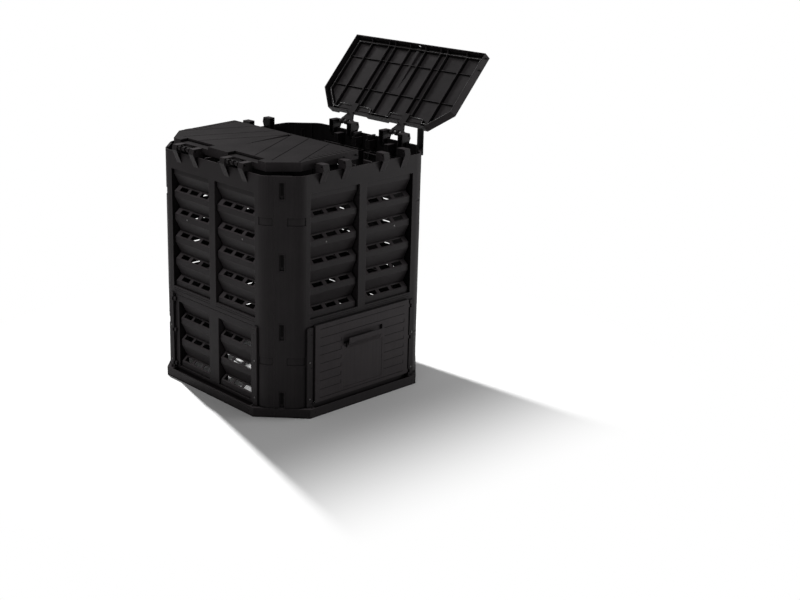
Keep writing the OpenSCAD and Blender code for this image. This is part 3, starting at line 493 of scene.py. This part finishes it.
# %% Sweep a bead along a line
BEAD_SIDES = 8
SHARPEST_MITRE = 0.5
STEEP = 0.7

def sweep_bead(bm, points, radius):
    """A tube along a line of corners, with mitred corners and flat ends."""
    rings = []
    for i, here in enumerate(points):
        back = (here - points[i - 1] if i > 0 else points[1] - here).normalized()
        ahead = (points[i + 1] - here).normalized() if i < len(points) - 1 else back
        along = (back + ahead).normalized()
        across = Vector((0, 0, 1)) if abs(along.z) < STEEP else Vector((1, 0, 0))
        side = along.cross(across).normalized()
        up = side.cross(along).normalized()
        stretch = 1.0 / max(SHARPEST_MITRE, along.dot(ahead))
        rings.append(ring(bm, here, side * (radius * stretch), up * radius, BEAD_SIDES))
    skin(bm, rings)

print("a bead has", BEAD_SIDES, "sides")

# %% Build the rim beads
RIM_INSET = 17.25
RIM_Z = -0.6
BEAD_RADIUS = 1.5
LID_HALF = 311.0
LID_START = 36.8
LID_CUT = 74.8
LID_END = 345.25
STATION = 125.25
BOX_HALF = 78.4
BOX_X = 70.4
ARM_ROOM = 16.0

def rim_lines():
    """The rim's line as open runs of (x, y): it stops where a hinge arm crosses it."""
    cut = RIM_INSET * (math.sqrt(2) - 1)
    near = LID_START + RIM_INSET
    far = LID_END - RIM_INSET
    end = LID_HALF - RIM_INSET
    outer = [(far, 0.0), (far, end), (LID_START + LID_CUT + cut, end),
             (near, LID_HALF - LID_CUT - cut), (near, STATION + BOX_HALF),
             (BOX_X, STATION + BOX_HALF), (BOX_X, STATION + ARM_ROOM)]
    inner = [(BOX_X, STATION - ARM_ROOM), (BOX_X, STATION - BOX_HALF),
             (near, STATION - BOX_HALF), (near, 0.0)]
    return [[(x, s * y) for x, y in line] for s in (1, -1) for line in (outer, inner)]

for side, on_flap in FLAPS.items():
    bm = bmesh.new()
    for line in rim_lines():
        sweep_bead(bm, [on_flap((x, y, RIM_Z)) for x, y in line], BEAD_RADIUS * MM)
    finish_piece(bm, "rim_bead_" + side, rubbed_plastic, side + "_flap")

# %% [markdown]
# ### Gate marks and catches
# Where the plastic was injected, a small round nub with a dimple stays on the part. The
# walls have two on their middle louvres. The rails beside the hatch and the inserts have
# small round catches. A nub is a profile turned round an axis: its half outline is
# written down and swept in a circle. One wall's nubs are placed by numbers, and the
# other walls get the same ones, turned round the middle of the bin.

# %% Turn a nub
NUB_SIDES = 16
NUB_OUTLINE = ((1.0, -0.3), (1.0, 0.5), (0.85, 0.9), (0.6, 1.0), (0.4, 0.85), (0.25, 0.55))

def turn_nub(bm, centre, out, radius, height):
    """A flat dome with a dimple at the centre, standing on a face that looks along out."""
    side = out.cross(Vector((0, 0, 1))).normalized()
    up = side.cross(out)
    skin(bm, [ring(bm, centre + out * (height * h), side * (radius * r), up * (radius * r),
                   NUB_SIDES) for r, h in NUB_OUTLINE])

print("a nub has", len(NUB_OUTLINE), "rings of", NUB_SIDES, "corners")

# %% Places on a wall
HALF_RING = 336.0
WALLS = {"front": 0, "left": -90, "back": 180, "right": 90}

def on_wall(wall, u, depth, z):
    """From the millimetres of the wall that faces -Y to the scene, on the named wall."""
    turn = math.radians(WALLS[wall])
    x, y = u, -HALF_RING + depth
    return Vector((x * math.cos(turn) - y * math.sin(turn),
                   x * math.sin(turn) + y * math.cos(turn), z)) * MM

def out_of_wall(wall):
    """The direction in which the wall faces."""
    turn = math.radians(WALLS[wall])
    return Vector((math.sin(turn), -math.cos(turn), 0))

for wall in WALLS:
    print("the", wall, "wall faces", out_of_wall(wall))

# %% Place the gate marks and the catches
GATE_U = 145.0
GATE_Z = 554.5
GATE_RADIUS = 3.0
GATE_HEIGHT = 0.9
LIP_DEPTH = 8.0
RAIL_U = 221.5
RAIL_PROUD = 8.0
CATCH_ZS = (58.0, 180.0)
CATCH_RADIUS = 3.2
CATCH_HEIGHT = 1.6

for wall in WALLS:
    bm = bmesh.new()
    out = out_of_wall(wall)
    for u in (-GATE_U, GATE_U):
        turn_nub(bm, on_wall(wall, u, LIP_DEPTH, GATE_Z), out,
                 GATE_RADIUS * MM, GATE_HEIGHT * MM)
    for u in (-RAIL_U, RAIL_U):
        for z in CATCH_ZS:
            turn_nub(bm, on_wall(wall, u, -RAIL_PROUD, z), out,
                     CATCH_RADIUS * MM, CATCH_HEIGHT * MM)
    finish_piece(bm, "gate_marks_" + wall, rubbed_plastic, "bin")

# %% [markdown]
# ### Pegs at the ends of a flap
# Two thin round pegs stand out of each end of a flap. In the photograph they show as
# small stubs against the white behind the open flap. A peg is a nub with a small radius
# and a long height, so the same helper turns it, and it rides on its flap when that
# swings.

# %% Place the pegs at the flaps' ends
PEG_XS = (334.0, 286.0)
PEG_Z = -0.5
PEG_RADIUS = 2.2
PEG_LENGTH = 10.0

for side, on_flap in FLAPS.items():
    bm = bmesh.new()
    for x in PEG_XS:
        for end in (-1, 1):
            turn_nub(bm, on_flap((x, end * LID_HALF, PEG_Z)), Vector((0, end, 0)),
                     PEG_RADIUS * MM, PEG_LENGTH * MM)
    finish_piece(bm, "end_pegs_" + side, lid_plastic, side + "_flap")

# %% [markdown]
# ### The floor
# A product photograph like this stands on a white sweep: paper that curves up behind
# the object, so that no edge of a floor shows. A modelled sweep would work too, but a
# large flat plane is simpler and catches the same shadow. Its paint is pale near the
# bin, where the shadow falls. Further off it turns to plain white for the camera only,
# which hides the place where the floor ends. Towards the front it turns white sooner,
# which paints the fading end of the cast shadow: painted light.

# %% Paint the floor
PALE = (0.95, 0.95, 0.95, 1.0)
WHITE = (1.0, 1.0, 1.0, 1.0)
SHADOW_MIDDLE = (-0.05, -0.15, 0.0)
FADE_FROM, FADE_TO = 0.85, 1.3
PAINTED_SHADOW_FADE_FROM, PAINTED_SHADOW_FADE_TO = -0.42, -1.08

def floor_paint():
    """Pale paint that is plain white to the camera away from the bin and, sooner, towards the
    front, where it paints the fading end of the shadow.
    """
    material = bpy.data.materials.new("floor paint")
    material.use_nodes = True
    tree = material.node_tree
    tree.nodes.remove(tree.nodes["Principled BSDF"])
    place = add(tree, "ShaderNodeTexCoord").outputs["Object"]
    middle = vector_node(tree, "SUBTRACT", place, SHADOW_MIDDLE, "Vector")
    length = add(tree, "ShaderNodeVectorMath", operation="LENGTH")
    join(tree, middle, length.inputs[0])
    far = map_range(tree, length.outputs["Value"], FADE_FROM, FADE_TO, curve="SMOOTHSTEP")
    apart = add(tree, "ShaderNodeSeparateXYZ")
    join(tree, place, apart.inputs[0])
    # Towards the front, the white paints over the end of the cast shadow: painted light.
    ahead = map_range(tree, apart.outputs["Y"], PAINTED_SHADOW_FADE_FROM, PAINTED_SHADOW_FADE_TO,
                      curve="SMOOTHSTEP")
    path = add(tree, "ShaderNodeLightPath")
    amount = math_node(tree, "MULTIPLY", math_node(tree, "MAXIMUM", far, ahead),
                       path.outputs["Is Camera Ray"])
    mix = add(tree, "ShaderNodeMixShader")
    join(tree, amount, mix.inputs[0])
    join(tree, add(tree, "ShaderNodeBsdfDiffuse", Color=PALE).outputs[0], mix.inputs[1])
    join(tree, add(tree, "ShaderNodeEmission", Color=WHITE).outputs[0], mix.inputs[2])
    join(tree, mix.outputs[0], tree.nodes["Material Output"].inputs["Surface"])
    return material

print("the floor turns white between", FADE_FROM, "and", FADE_TO, "m from the shadow's middle")

# %% Lay the floor
FLOOR_REACH = 30.0

def lay_floor():
    """A large square on the ground; it is stage, so it isn't part of the bin."""
    mesh = bpy.data.meshes.new("floor")
    r = FLOOR_REACH
    mesh.from_pydata([(-r, -r, 0), (r, -r, 0), (r, r, 0), (-r, r, 0)], [], [(0, 1, 2, 3)])
    mesh.materials.append(floor_paint())
    floor = bpy.data.objects.new("floor", mesh)
    bpy.context.scene.collection.objects.link(floor)
    return floor

floor = lay_floor()
print("the floor reaches", FLOOR_REACH, "m each way")

# %% [markdown]
# ### The lamps
# The long shadow falls towards the camera, so its lamp stands behind the bin. It is a
# narrow upright strip, which keeps the sides of the shadow crisp. A lamp that is strong
# enough for the shadow would glare on the lid, so light linking lets it light only the
# floor. Light linking is a list on a lamp that says which objects it lights, and another
# that says which ones throw its shadows. In the photograph the open flap throws no
# shadow on the floor, so the flap is left off that second list. A large soft panel in
# front lights the hatch side. Two softboxes, one above and one behind, light the lid and
# the rims, and leave the floor as it is. The sky gives even light from all around.

# %% Helpers for lamps
def soft_lamp(name, place, aim, wide, high, watts):
    """A rectangular lamp at a place that points at the aim."""
    data = bpy.data.lights.new(name, "AREA")
    data.shape = "RECTANGLE"
    data.size = wide
    data.size_y = high
    data.energy = watts
    lamp = bpy.data.objects.new(name, data)
    bpy.context.scene.collection.objects.link(lamp)
    lamp.location = place
    lamp.rotation_euler = (Vector(aim) - Vector(place)).to_track_quat("-Z", "Y").to_euler()
    return lamp

def even_level(lamp):
    """Light that stays as strong far from the lamp as near it."""
    lamp.data.use_nodes = True
    tree = lamp.data.node_tree
    falloff = add(tree, "ShaderNodeLightFalloff", Strength=1.0)
    join(tree, falloff.outputs["Constant"], tree.nodes["Emission"].inputs["Strength"])

def linked(name, members, state):
    """A list for light linking: INCLUDE means only these, EXCLUDE all but these."""
    group = bpy.data.collections.new(name)
    for member in members:
        group.objects.link(member)
    for row in group.collection_objects:
        row.light_linking.link_state = state
    return group

# %% Light the floor
shadow_lamp = soft_lamp("strip behind", place=(0.17, 2.2, 2.1), aim=(0.0, 0.0, 0.3),
                        wide=0.08, high=0.3, watts=14.5)
even_level(shadow_lamp)
open_flap = [part for name, part in nodes.items()
             if name.startswith(("lid_flap_right", "hinge_arm_right"))]
shadow_lamp.light_linking.blocker_collection = linked("no shadow", open_flap, "EXCLUDE")
shadow_lamp.light_linking.receiver_collection = linked("floor only", [floor], "INCLUDE")
print(len(open_flap), "parts throw no shadow on the floor")

# %% Light the bin
front_lamp = soft_lamp("panel in front", place=(3.2, -2.8, 0.9), aim=(0, 0, 0.4),
                       wide=1.6, high=1.0, watts=66.0)
top_lamp = soft_lamp("softbox above", place=(-1.55, 0.2, 3.2), aim=(0, 0, 0.5),
                     wide=0.7, high=0.7, watts=40.0)
back_lamp = soft_lamp("softbox behind", place=(0.2, 2.6, 2.9), aim=(0, 0, 0.8),
                      wide=1.0, high=1.0, watts=46.0)
not_floor = linked("all but the floor", [floor], "EXCLUDE")
for lamp in (top_lamp, back_lamp):
    lamp.light_linking.receiver_collection = not_floor
print("lit by", shadow_lamp.name, "and", front_lamp.name, "and two softboxes")

# %% Build the sky
SKY_LEVEL = 0.25

def build_sky():
    """Even pale light from all around; plain white where the camera sees it."""
    world = bpy.data.worlds.new("pale sky")
    bpy.context.scene.world = world
    world.use_nodes = True
    tree = world.node_tree
    ground = tree.nodes["Background"]
    ground.inputs["Color"].default_value = WHITE
    ground.inputs["Strength"].default_value = SKY_LEVEL
    seen = add(tree, "ShaderNodeBackground", Color=WHITE, Strength=1.0)
    path = add(tree, "ShaderNodeLightPath")
    mix = add(tree, "ShaderNodeMixShader")
    join(tree, path.outputs["Is Camera Ray"], mix.inputs[0])
    join(tree, ground.outputs[0], mix.inputs[1])
    join(tree, seen.outputs[0], mix.inputs[2])
    join(tree, mix.outputs[0], tree.nodes["World Output"].inputs["Surface"])
    return world

sky = build_sky()
bpy.context.scene.view_settings.view_transform = "Standard"
print("sky", sky.name, "at", SKY_LEVEL)
